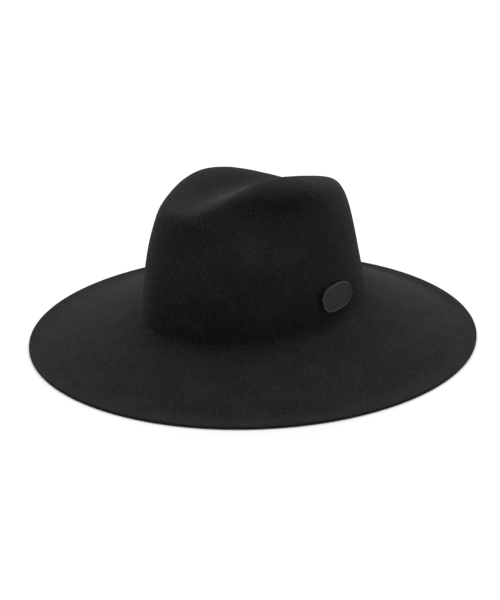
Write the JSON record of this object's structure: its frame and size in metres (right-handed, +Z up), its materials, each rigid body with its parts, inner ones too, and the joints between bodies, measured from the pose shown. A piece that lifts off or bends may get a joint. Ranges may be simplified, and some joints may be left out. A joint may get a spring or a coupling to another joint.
{
  "type": "wide-brimmed felt fedora",
  "caption": "Wool felt fedora in one piece: creased crown with side pinches, wide sloping raw-edged brim, small oval plate riveted to the left side.",
  "frame": {"origin": "middle of the surface that the brim's edge rests on, under the middle of the head opening", "axes": "+Z up out of the crown, -Y to the front of the hat, +X to the wearer's left"},
  "size_m": [0.3632, 0.3892, 0.139],
  "materials": {
    "felt": "pressed black wool felt, matt, with a fine short nap and a raw-cut edge",
    "plate": "dark grey satin paint, slightly pebbled, with a smooth raised rim",
    "rivet": "plain dark steel"
  },
  "bodies": {
    "root": {"felt_body": "felt", "badge_plate": "plate", "badge_rivet": "rivet"}
  },
  "joints": []
}
